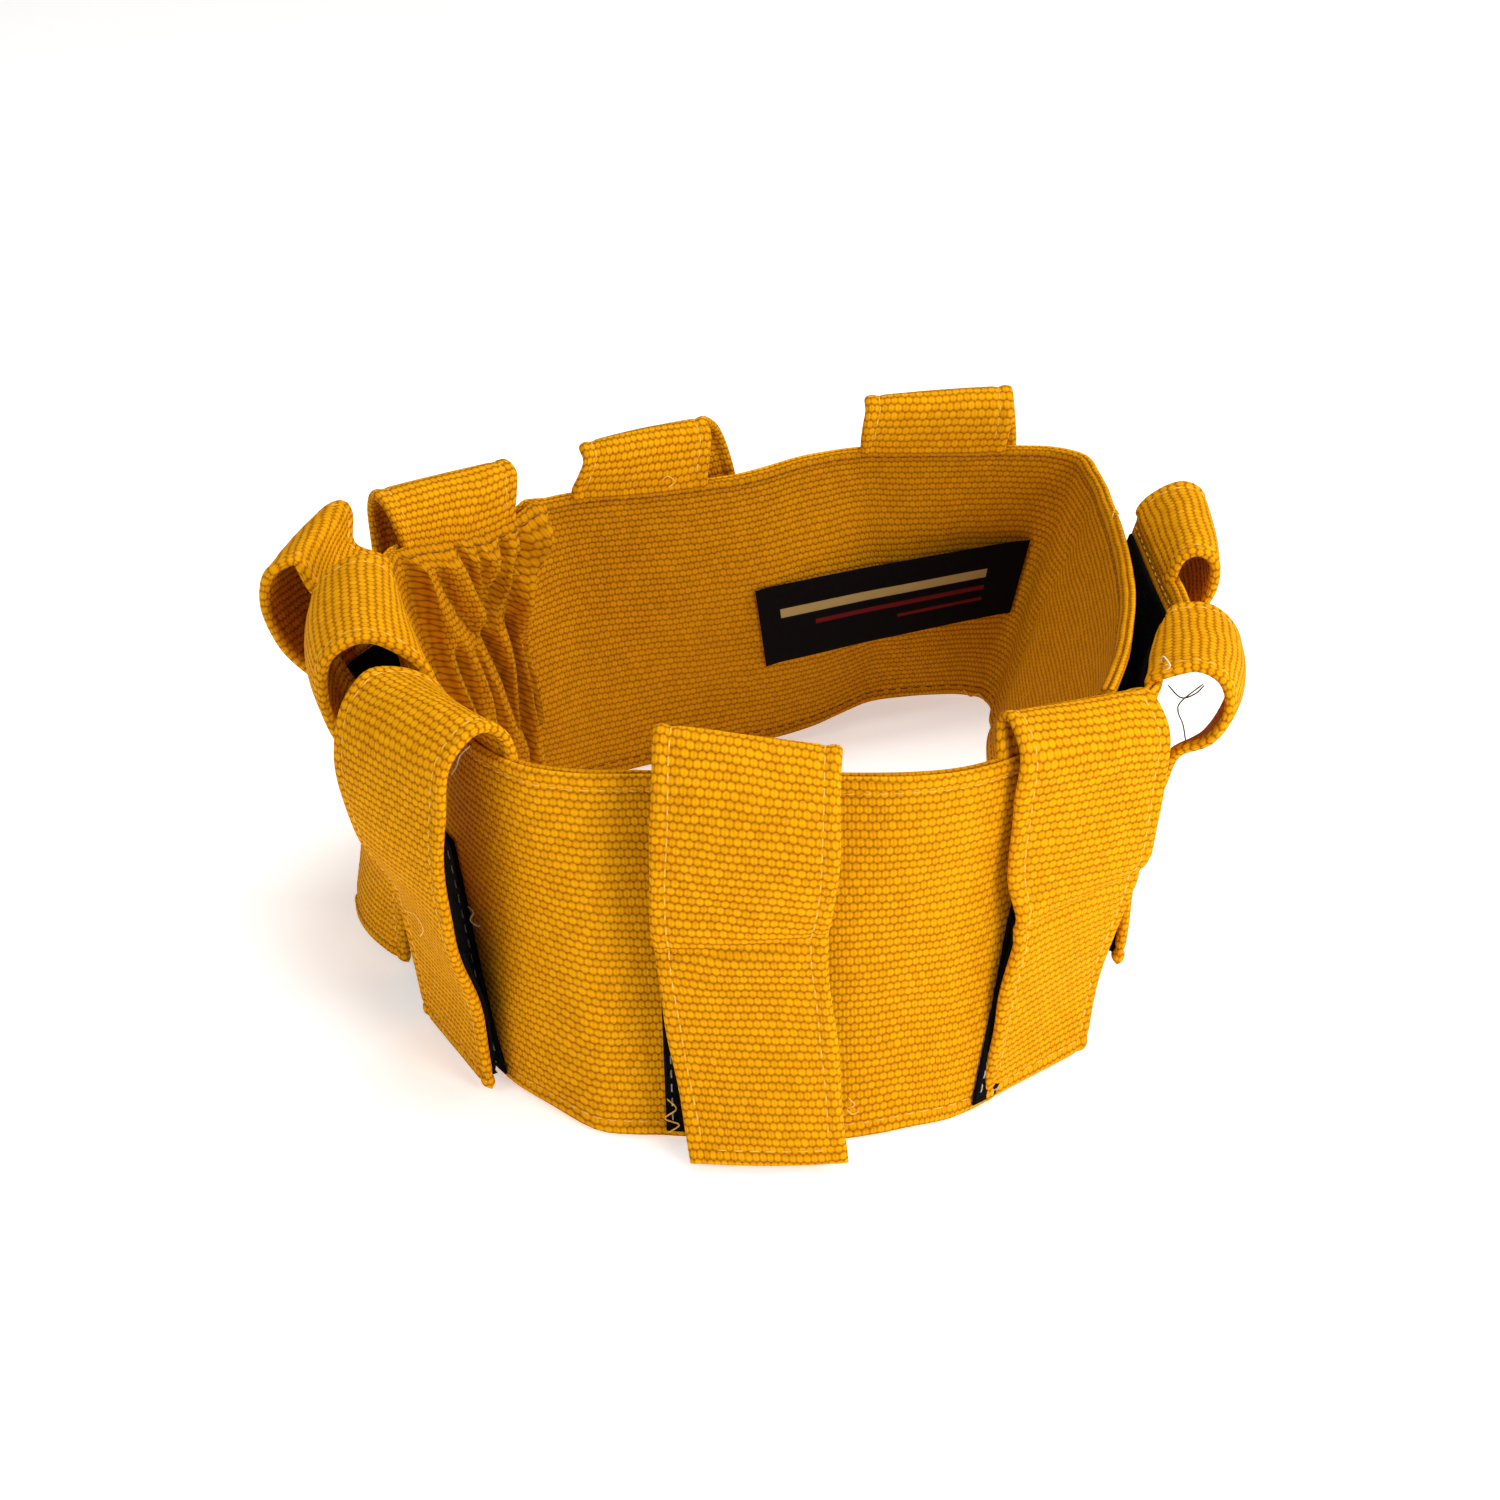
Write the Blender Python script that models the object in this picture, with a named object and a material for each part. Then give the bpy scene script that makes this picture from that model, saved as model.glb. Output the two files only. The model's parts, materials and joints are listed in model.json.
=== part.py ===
"""Waist belt for a child, with ten over-the-top loop straps that close with hook-and-loop tape.

The belt is a doubled canvas band that stands on its lower edge as a closed ring. A short
gathered stretch holds the waist elastic, and the two ends overlap at the right-hand side. The
front of the belt faces -Y and +Z is up. All driving sizes are in millimetres, and metres are
only made when a mesh is written.
"""

from bisect import bisect_right
from math import cos, hypot, pi, radians, sin, sqrt

import bmesh
import bpy
from mathutils import Vector

MM = 0.001

BAND_HEIGHT = 84.0
CANVAS = 1.3            # one layer of canvas
LAYER_GAP = 0.3         # between two pieces that lie on each other
TAPE = 1.1              # hook tape or loop tape
ELASTIC = 1.2
STRAP_WIDTH = 37.0
STRAP_THICKNESS = 2.4   # canvas folded double
TAPE_WIDTH = 35.0
STATION_STEP = 9.0      # length of belt between two cross-sections

# The shape of the standing ring, from the outer closure end round the front and the back to the
# inner closure end. Each row is one straight line up the canvas: where it starts on the floor
# and where it ends at the top edge, as (bottom x, bottom y, top x, top y).
OUTER_END = [
    (74, 46, 96, 45),
    (73, 22, 98, 21),
    (73, -2, 100, -4),
    (73, -22, 94, -19),
    (74, -38, 90, -35),
]
FRONT = [
    (75, -52, 87, -49),
    (70, -65, 79, -59),
    (60, -76, 67, -69),
    (51, -86, 56, -79),
    (43, -92, 45, -86),
    (34, -95, 32, -89),
    (20, -99, 18, -89),
    (2, -100, 0, -88.5),
    (-19, -98, -22, -87),
    (-32, -96, -36, -87),
    (-42, -87, -45, -85.5),
    (-52, -77, -55, -77),
    (-60, -63, -62, -65),
    (-67, -41, -71, -46),
    (-71, -14, -79, -18.5),
    (-71, 12, -85, 9),
]
GATHERS = [
    (-68, 27, -84, 22),
    (-60, 41, -72, 32),
    (-49, 50, -60, 40),
]
BACK = [
    (-40, 56, -49, 48),
    (-30, 61, -37, 52),
    (-17, 67, -24.5, 55),
    (4, 76, -2.5, 62),
    (17, 84, 12.5, 72),
    (31, 97, 27, 80),
    (43, 101, 39, 81.5),
    (56, 102, 60, 82),
    (64, 98, 78, 81.5),
    (66, 92, 84, 78),
    (64.5, 84, 86, 70),
    (63.5, 69, 88, 55),
    (63, 50, 89, 40),
    (63, 30, 89, 22),
    (64, 10, 88, 3),
    (65, -10, 85.5, -15),
    (66, -33, 82, -34),
    (66, -53, 77, -51),
]
RULINGS = OUTER_END + FRONT + GATHERS + BACK
HINGE_ROW = len(OUTER_END)
END_ROW = len(RULINGS) - 1


# The loop straps, in order along the belt from the outer closure end. Each one is sewn into the
# top edge, arches over it and closes on the outside of the band. All in millimetres, and turn in
# degrees:
#   along    middle of the strap, measured along the top edge from the outer closure end
#   rise     how far the arch stands above the top edge
#   bulge    how far the loop stands out from the band
#   landing  height above the floor at which the strap meets the band again
#   hem      height of the strap's free end above the floor
#   flare    how far the free end stands off the tape
#   skew     sideways shift of the free end, towards the inner closure end when positive
#   turn     swing of the arch about the vertical
#   root     share of the strap's width that its sewn root takes up on the band
STRAPS = {
    "strap_1": dict(along=198, rise=11, bulge=11, landing=40, hem=1, flare=4, skew=-3),
    "strap_2": dict(along=121, rise=9, bulge=12, landing=44, hem=2, flare=1),
    "strap_3": dict(along=268.5, rise=10, bulge=13, landing=36, hem=1, flare=2, turn=-8),
    "strap_4": dict(along=306.3, rise=10, bulge=21, landing=26, hem=3, flare=2),
    "strap_5": dict(along=344.8, rise=10, bulge=24, landing=30, hem=6, flare=2),
    "strap_6": dict(along=383.3, rise=10, bulge=14, landing=44, hem=6, root=0.75),
    "strap_7": dict(along=428, rise=13, bulge=14, landing=42, hem=3, flare=1, skew=8),
    "strap_8": dict(along=511, rise=13, bulge=14, landing=42, hem=3, flare=1, skew=5),
    "strap_9": dict(along=18, rise=6, bulge=13, landing=52, hem=10),
    "strap_10": dict(along=76.5, rise=6, bulge=18, landing=60, hem=12),
}
LOOP_TAPE_TOP = 52.0
LOOP_TAPE_FOOT = 2.0
GATHERS_ALONG = (362.0, 391.6)
HOOK_PANEL_ALONG = (3.0, 92.0)
LOOP_PANEL_ALONG = (580.0, 672.0)
PANEL_HEIGHTS = (5.0, 79.0)
ELASTIC_HEIGHTS = (22.0, 64.0)
LABEL_ALONG = (454.0, 538.0)
LABEL_HEIGHTS = (27.0, 51.0)
LABEL_THICKNESS = 0.6

# From the middle of the band to the middle of a strap that lies on it, with both tapes between.
TAPE_OUT = CANVAS + 2 * LAYER_GAP       # the near face of a tape that lies on the band
STRAP_OUT = TAPE_OUT + 2 * (TAPE + LAYER_GAP) + STRAP_THICKNESS / 2
HEIGHT_LEVELS = (52.0, 26.0)
ARCH_STEPS = 4          # rows of a strap from its seam to the crest, and from there to the shoulder
LOOP_STEPS = 4          # rows from the shoulder to the landing
SKEW_LIFT = 0.5         # extra room under a strap that lies askew on the band
HEM_STEPS = 3           # rows from the landing to the free end
LANDING_STEP = ARCH_STEPS + LOOP_STEPS
ORIGIN_X = 0.9
ORIGIN_Y = -0.8

CANVAS_COLOUR = (0.78, 0.42, 0.02, 1.0)
LINING_COLOUR = (0.62, 0.31, 0.015, 1.0)
TAPE_COLOUR = (0.012, 0.012, 0.013, 1.0)
LABEL_COLOUR = (0.01, 0.01, 0.011, 1.0)
ELASTIC_COLOUR = (0.8, 0.78, 0.72, 1.0)


def smooth_row(position):
    """The ruling at a fractional row of the outline, on a smooth curve through the rows."""
    position = min(max(position, 0.0), END_ROW - 1e-6)
    first = int(position)
    t = position - first
    rows = [RULINGS[min(max(first + k, 0), END_ROW)] for k in (-1, 0, 1, 2)]
    values = []
    for p0, p1, p2, p3 in zip(*rows):
        bend = (2 * p0 - 5 * p1 + 4 * p2 - p3) * t + (3 * p1 - p0 - 3 * p2 + p3) * t * t
        values.append(p1 + 0.5 * t * ((p2 - p0) + bend))
    return values


def length_table(steps=16):
    """Distance along the top edge at each of many fractional rows."""
    positions = [i / steps for i in range(END_ROW * steps + 1)]
    distances = [0.0]
    for before, after in zip(positions, positions[1:]):
        a, b = smooth_row(before), smooth_row(after)
        distances.append(distances[-1] + hypot(b[2] - a[2], b[3] - a[3]))
    return positions, distances


ROWS, DISTANCES = length_table()


def distance_at(row):
    return DISTANCES[ROWS.index(row)]


def row_at(distance):
    """The fractional row of a place given in millimetres along the top edge."""
    for i in range(1, len(ROWS)):
        if DISTANCES[i] >= distance:
            share = (distance - DISTANCES[i - 1]) / (DISTANCES[i] - DISTANCES[i - 1])
            return ROWS[i - 1] + share * (ROWS[i] - ROWS[i - 1])
    return ROWS[-1]


def outward(row, bottom):
    """Level outward direction of the band at its bottom or its top edge."""
    step = 0.05
    a, b = smooth_row(row - step), smooth_row(row + step)
    column = 0 if bottom else 2
    along = Vector((b[column] - a[column], b[column + 1] - a[column + 1], 0)).normalized()
    return Vector((-along.y, along.x, 0))


def cross_section(distance):
    """Foot and top of the canvas at a distance along the belt, each with its outward direction."""
    row = row_at(distance)
    bottom_x, bottom_y, top_x, top_y = smooth_row(row)
    lean = hypot(top_x - bottom_x, top_y - bottom_y)
    bottom = Vector((bottom_x, bottom_y, 0.0))
    top = Vector((top_x, top_y, sqrt(BAND_HEIGHT ** 2 - lean ** 2)))
    return bottom, top, outward(row, True), outward(row, False)


def shared_stations():
    """Distances of the cross-sections that every piece on the band has in common."""
    marks = [distance_at(float(row)) for row in range(END_ROW + 1)]
    places = []
    for a, b in zip(marks, marks[1:]):
        cells = max(1, round((b - a) / STATION_STEP))
        places += [a + (b - a) * k / cells for k in range(cells)]
    return places + [marks[-1]]


STATIONS = shared_stations()
SECTIONS = [cross_section(distance) for distance in STATIONS]


def stations_between(start, end):
    """The two ends of a piece and the shared stations between them."""
    inside = [d for d in STATIONS if start + LAYER_GAP < d < end - LAYER_GAP]
    return [start, *inside, end]


def band_point(distance, height, out=0.0):
    """A point of the standing band: height is measured up the canvas and out from its middle."""
    last = len(STATIONS) - 2
    i = min(max(bisect_right(STATIONS, distance) - 1, 0), last)
    share = (distance - STATIONS[i]) / (STATIONS[i + 1] - STATIONS[i])
    ends = []
    for bottom, top, bottom_out, top_out in SECTIONS[i:i + 2]:
        foot, rim = bottom + bottom_out * out, top + top_out * out
        ends.append(foot.lerp(rim, height / BAND_HEIGHT))
    return ends[0].lerp(ends[1], share)


def material(name, colour, roughness):
    found = bpy.data.materials.get(name)
    if found:
        return found
    made = bpy.data.materials.new(name)
    made.use_nodes = True
    shader = made.node_tree.nodes["Principled BSDF"]
    shader.inputs["Base Color"].default_value = colour
    shader.inputs["Roughness"].default_value = roughness
    shader.inputs["Metallic"].default_value = 0.0
    return made


def slab(name, inner, outer, look, origin=(0.0, 0.0, 0.0)):
    """A closed piece of cloth between two grids of points, given in millimetres.

    Every cell is split along the same diagonal, so that pieces lying on each other stay parallel.
    """
    rows, columns = len(inner), len(inner[0])
    mesh = bmesh.new()
    place = Vector(origin)
    centre = Vector((ORIGIN_X, ORIGIN_Y, 0.0))
    grids = []
    for grid in (inner, outer):
        grids.append([[mesh.verts.new((p - place) * MM) for p in row] for row in grid])
    low, high = grids
    for i in range(rows - 1):
        for j in range(columns - 1):
            for g in grids:
                mesh.faces.new((g[i][j], g[i + 1][j], g[i + 1][j + 1]))
                mesh.faces.new((g[i][j], g[i + 1][j + 1], g[i][j + 1]))
        for j in (0, columns - 1):
            mesh.faces.new((low[i][j], low[i + 1][j], high[i + 1][j], high[i][j]))
    for i in (0, rows - 1):
        for j in range(columns - 1):
            mesh.faces.new((low[i][j], low[i][j + 1], high[i][j + 1], high[i][j]))
    bmesh.ops.recalc_face_normals(mesh, faces=mesh.faces)
    data = bpy.data.meshes.new(name)
    mesh.to_mesh(data)
    mesh.free()
    data.materials.append(material(*look))
    made = bpy.data.objects.new(name, data)
    made.location = (place - centre) * MM
    bpy.context.collection.objects.link(made)
    return made


def band_piece(name, along, heights, outs, look, origin=(0.0, 0.0, 0.0)):
    """A piece that follows the band: layers of canvas, tape panels, the elastic, the label."""
    low, high = heights
    levels = [high, *(h for h in HEIGHT_LEVELS if low + 1 < h < high - 1), low]
    places = stations_between(*along)
    grids = [[[band_point(d, h, out) for h in levels] for d in places] for out in outs]
    return slab(name, grids[0], grids[1], look, origin)


class Strap:
    """One loop strap: a sewn root leg, an arch and a flap that closes on the band."""

    def __init__(self, along, rise, bulge, landing, hem, flare=0, skew=0, turn=0, root=1.0):
        self.along = along
        self.landing = landing
        self.hem = hem
        self.flare = flare
        self.skew = skew
        self.root = root
        bottom, top, bottom_out, top_out = cross_section(along)
        self.bottom = bottom
        self.up = (top - bottom).normalized()
        level = (bottom_out + top_out).normalized()
        swing = radians(turn)
        self.out = Vector((
            level.x * cos(swing) - level.y * sin(swing),
            level.x * sin(swing) + level.y * cos(swing),
            0.0,
        ))
        self.side = Vector((self.out.y, -self.out.x, 0.0))
        self.crest_height = BAND_HEIGHT + rise - STRAP_THICKNESS / 2
        self.crest_out = 0.45 * bulge
        self.reach = bulge - STRAP_THICKNESS / 2
        edges = stations_between(along - STRAP_WIDTH / 2, along + STRAP_WIDTH / 2)
        self.columns = [d - along for d in edges]

    def place(self, sideways, out, height, free, shift):
        """A point of the strap, between its band-hugging place and its free-standing one."""
        narrowing = self.root if height > BAND_HEIGHT else 1.0
        hug = band_point(self.along + sideways * narrowing + shift, height, out)
        stand = self.bottom + self.up * height + self.out * out + self.side * (sideways + shift)
        return hug.lerp(stand, free)

    def root_path(self):
        """Profile of the sewn leg, as (out, height, free, shift), from the hem to the crest."""
        start = BAND_HEIGHT + LAYER_GAP
        path = []
        for k in range(ARCH_STEPS + 1):
            angle = pi / 2 * k / ARCH_STEPS
            out = (self.crest_out - LAYER_GAP / 2) * (1 - cos(angle))
            height = start + (self.crest_height - start) * sin(angle)
            path.append((out, height, k / ARCH_STEPS, 0.0))
        return path

    def flap_path(self):
        """Profile of the flap: over the crest, down the loop to the tape and on to the free end."""
        shoulder = BAND_HEIGHT - 0.3 * (BAND_HEIGHT - self.landing)
        flat = STRAP_OUT + (SKEW_LIFT if self.skew else 0.0)
        path = []
        for k in range(ARCH_STEPS + 1):
            t = k / ARCH_STEPS
            out = self.crest_out + LAYER_GAP / 2
            out += (self.reach - out) * sin(pi / 2 * t)
            height = self.crest_height - (self.crest_height - shoulder) * (1 - cos(pi / 2 * t))
            path.append((out, height, 1.0, self.skew * 0.3 * t))
        for k in range(1, LOOP_STEPS + 1):
            t = k / LOOP_STEPS
            ease = t * t * (3 - 2 * t)
            out = self.reach + (flat - self.reach) * ease
            height = shoulder + (self.landing - shoulder) * t
            path.append((out, height, 1.0 - ease, self.skew * (0.3 + 0.3 * t)))
        for k in range(1, HEM_STEPS + 1):
            t = k / HEM_STEPS
            height = self.landing + (self.hem - self.landing) * t
            path.append((flat + self.flare * t * t, height, 0.0, self.skew * (0.6 + 0.4 * t)))
        return path

    def layer(self, path, offset):
        """The path moved along its own normal by offset, as a grid of points across the strap."""
        grid = []
        for k, (out, height, free, shift) in enumerate(path):
            before, after = path[max(k - 1, 0)], path[min(k + 1, len(path) - 1)]
            run, climb = after[0] - before[0], after[1] - before[1]
            if height == self.crest_height:
                run, climb = 1.0, 0.0
            elif k == 0 and free == 0.0:
                run, climb = 0.0, 1.0
            size = hypot(run, climb)
            moved_out = out - climb / size * offset
            moved_height = height + run / size * offset
            where = (moved_out, moved_height, free, shift)
            grid.append([self.place(sideways, *where) for sideways in self.columns])
        return grid

    def hinge(self):
        """A point on the axis that the flap lifts about: the outside of the crest."""
        height = self.crest_height + STRAP_THICKNESS / 2
        return self.bottom + self.up * height + self.out * self.crest_out


CANVAS_LOOK = ("mustard_canvas", CANVAS_COLOUR, 0.9)
LINING_LOOK = ("canvas_lining", LINING_COLOUR, 0.9)
TAPE_LOOK = ("black_tape", TAPE_COLOUR, 0.85)
LABEL_LOOK = ("woven_label", LABEL_COLOUR, 0.7)
ELASTIC_LOOK = ("elastic", ELASTIC_COLOUR, 0.8)

LAYER_OUTS = (LAYER_GAP / 2, LAYER_GAP / 2 + CANVAS)
ELASTIC_OUTS = (-LAYER_GAP / 2 - ELASTIC, -LAYER_GAP / 2)
CASING_LINING_OUTS = (ELASTIC_OUTS[0] - LAYER_GAP - CANVAS, ELASTIC_OUTS[0] - LAYER_GAP)
TAPE_OUTS = (TAPE_OUT, TAPE_OUT + TAPE)
FULL_HEIGHT = (0.0, BAND_HEIGHT)


def mirrored(outs):
    return (-outs[1], -outs[0])


def double_band(name, along, lining_outs=mirrored(LAYER_OUTS), origin=(0.0, 0.0, 0.0)):
    """The outer canvas and the lining of one stretch of the belt."""
    band_piece(name + "_outer", along, FULL_HEIGHT, LAYER_OUTS, CANVAS_LOOK, origin)
    band_piece(name + "_lining", along, FULL_HEIGHT, lining_outs, LINING_LOOK, origin)


def build_band():
    hinge_along = distance_at(HINGE_ROW)
    hinge = closure_hinge()
    gathers_start, gathers_end = GATHERS_ALONG
    double_band("closure_end", (0.0, hinge_along - LAYER_GAP / 2), origin=hinge)
    double_band("front_band", (hinge_along + LAYER_GAP / 2, gathers_start - LAYER_GAP))
    double_band("gather_casing", GATHERS_ALONG, CASING_LINING_OUTS)
    double_band("back_band", (gathers_end + LAYER_GAP, DISTANCES[-1]))
    band_piece("waist_elastic", GATHERS_ALONG, ELASTIC_HEIGHTS, ELASTIC_OUTS, ELASTIC_LOOK)
    inside = mirrored(TAPE_OUTS)
    band_piece("closure_hook_panel", HOOK_PANEL_ALONG, PANEL_HEIGHTS, inside, TAPE_LOOK, hinge)
    band_piece("closure_loop_panel", LOOP_PANEL_ALONG, PANEL_HEIGHTS, TAPE_OUTS, TAPE_LOOK)
    label_outs = (-TAPE_OUT - LABEL_THICKNESS, -TAPE_OUT)
    band_piece("inner_label", LABEL_ALONG, LABEL_HEIGHTS, label_outs, LABEL_LOOK)


def closure_hinge():
    """The foot of the upright axis that the outer closure end swings about."""
    top = band_point(distance_at(HINGE_ROW), BAND_HEIGHT, LAYER_OUTS[1])
    return Vector((top.x, top.y, 0.0))


def build_strap(name, sizes):
    strap = Strap(**sizes)
    half = STRAP_THICKNESS / 2
    root, flap = strap.root_path(), strap.flap_path()
    hinge = strap.hinge()
    on_closure = strap.along < distance_at(HINGE_ROW)
    root_origin = closure_hinge() if on_closure else (0.0, 0.0, 0.0)
    root_faces = (strap.layer(root, -half), strap.layer(root, half))
    flap_faces = (strap.layer(flap, -half), strap.layer(flap, half))
    slab(name + "_root", *root_faces, CANVAS_LOOK, root_origin)
    slab(name + "_flap", *flap_faces, CANVAS_LOOK, hinge)
    tape_face = half + LAYER_GAP
    tape_faces = (
        strap.layer(flap, -tape_face - TAPE)[LANDING_STEP:],
        strap.layer(flap, -tape_face)[LANDING_STEP:],
    )
    slab(name + "_hook_tape", *tape_faces, TAPE_LOOK, hinge)
    tape_along = (strap.along - TAPE_WIDTH / 2, strap.along + TAPE_WIDTH / 2)
    heights = (LOOP_TAPE_FOOT, max(LOOP_TAPE_TOP, strap.landing))
    band_piece(name + "_loop_tape", tape_along, heights, TAPE_OUTS, TAPE_LOOK, root_origin)


def build():
    for leftover in list(bpy.data.objects):
        bpy.data.objects.remove(leftover)
    build_band()
    for name, sizes in STRAPS.items():
        build_strap(name, sizes)


build()
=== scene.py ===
"""Looks of the loop-strap waist belt: woven canvas, hook-and-loop tape, topstitching and threads.

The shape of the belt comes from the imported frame: the rims of the CAD band give two rails, one
along the floor and one along the top edge, and the CAD joints give each strap's place. Lengths
are in millimetres until a mesh is written. Along the belt they run from the outer closure end.
"""

import json
import math

import bpy
import numpy as np
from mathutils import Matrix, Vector

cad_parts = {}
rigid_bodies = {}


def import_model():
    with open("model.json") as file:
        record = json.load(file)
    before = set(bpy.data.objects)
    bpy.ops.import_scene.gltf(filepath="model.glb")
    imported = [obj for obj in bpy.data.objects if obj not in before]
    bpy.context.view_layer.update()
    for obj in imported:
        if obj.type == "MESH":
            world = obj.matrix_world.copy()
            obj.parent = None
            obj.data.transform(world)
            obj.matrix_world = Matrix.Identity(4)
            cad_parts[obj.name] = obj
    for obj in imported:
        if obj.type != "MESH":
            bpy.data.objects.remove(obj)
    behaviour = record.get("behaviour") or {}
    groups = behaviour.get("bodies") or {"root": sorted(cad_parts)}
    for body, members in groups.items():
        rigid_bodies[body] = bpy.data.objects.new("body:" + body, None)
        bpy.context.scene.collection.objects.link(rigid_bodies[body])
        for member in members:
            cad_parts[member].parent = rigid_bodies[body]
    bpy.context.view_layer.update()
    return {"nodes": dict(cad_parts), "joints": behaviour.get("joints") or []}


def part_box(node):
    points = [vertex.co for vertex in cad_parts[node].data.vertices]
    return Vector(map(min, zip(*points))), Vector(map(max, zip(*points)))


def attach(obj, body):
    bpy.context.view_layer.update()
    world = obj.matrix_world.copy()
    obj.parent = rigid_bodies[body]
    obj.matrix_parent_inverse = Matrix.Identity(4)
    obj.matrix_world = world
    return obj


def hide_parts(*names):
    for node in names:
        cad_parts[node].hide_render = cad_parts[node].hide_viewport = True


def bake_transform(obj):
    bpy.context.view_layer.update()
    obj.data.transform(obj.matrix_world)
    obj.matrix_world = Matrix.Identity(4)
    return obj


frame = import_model()

HEIGHT = 84.0               # of the band, measured up the canvas
CANVAS = 1.3                # one layer of canvas
LAYER_GAP = 0.3
STRAP_WIDTH = 37.0
STRAP_THICKNESS = 2.1
TAPE = 1.1
SEAM_IN = 3.5               # from a hem to its topstitching
PUCKER = 7.2                # depth of the folds of the gathered lining
OUTER_PUCKER = 1.0          # and of the outer canvas, under a strap's loop tape
STITCH_PITCH = 3.4
STITCH_LENGTH = 2.5
STITCH_RADIUS = 0.18
STITCH_SAMPLE = 1.1         # between the points of a seam's line
THREAD_SIDES = 6
LOOSE_RADIUS = 0.17         # of a loose thread end
ROOT_OUT = -0.85            # middle of a strap's sewn root, outwards from the middle of the band
ROOT_TUCK = 1.6             # how far the root goes down between the band's layers
TAPE_OUT = CANVAS + 2 * LAYER_GAP
TAPE_SINK = 0.25            # how much nearer to the canvas than TAPE_OUT a loop tape lies
PANEL_SINK = 0.3            # and each of the closure's two tape panels
HOOK_GAP = 0.05             # between a flap and the hook tape sewn to it
HOOK_INSET = 1.4            # from a flap's side edge to its hook tape
HOOK_UP = 3.0               # how far above a flap's landing its hook tape begins
SEAM_SINK = 0.22            # of the band's topstitching, into the face of the canvas
TOP_SEAM_PROUD = 0.2        # of the lining's top seam, out of the lining's face
TOP_SEAM_IN = 2.2           # from the top hem to that seam
CLOSURE_OVERLAP = 96.0      # length of belt that lies under the outer closure end
SPLIT = 11.0                # from the closure's hinge to where the closure's own cloth ends
FOLD_REACH = 9.0            # from the closure's hinge to either end of its soft fold
HOOK_PANEL = (3, 92)        # along the belt from its outer end
LOOP_PANEL = (-98, -6)      # along the belt from its inner end
PANEL_HEIGHTS = (5, 79)
ELASTIC_REACH = 14          # to either side of the middle of the gathers
ELASTIC_HEIGHTS = (22, 64)
LABEL_CORNERS = ((-43, 26.5), (46, 32.5), (-44, 51), (44, 56.5))    # along from its middle, height
LABEL_PULL = 8.0            # how far the stiff label holds the back wall inwards
BEND_BEFORE, BEND_AFTER = 5, 16     # lengths of a strap before and after its crest that count as neither root nor leg
MM_PER_UV = 100.0
WEAVE_PITCH = (1.65, 1.80)  # of the canvas, across and up
CAMERA_PLACE = (-0.0009, -0.6192, 0.390)
CAMERA_PITCH = 29.5         # degrees below level

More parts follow.
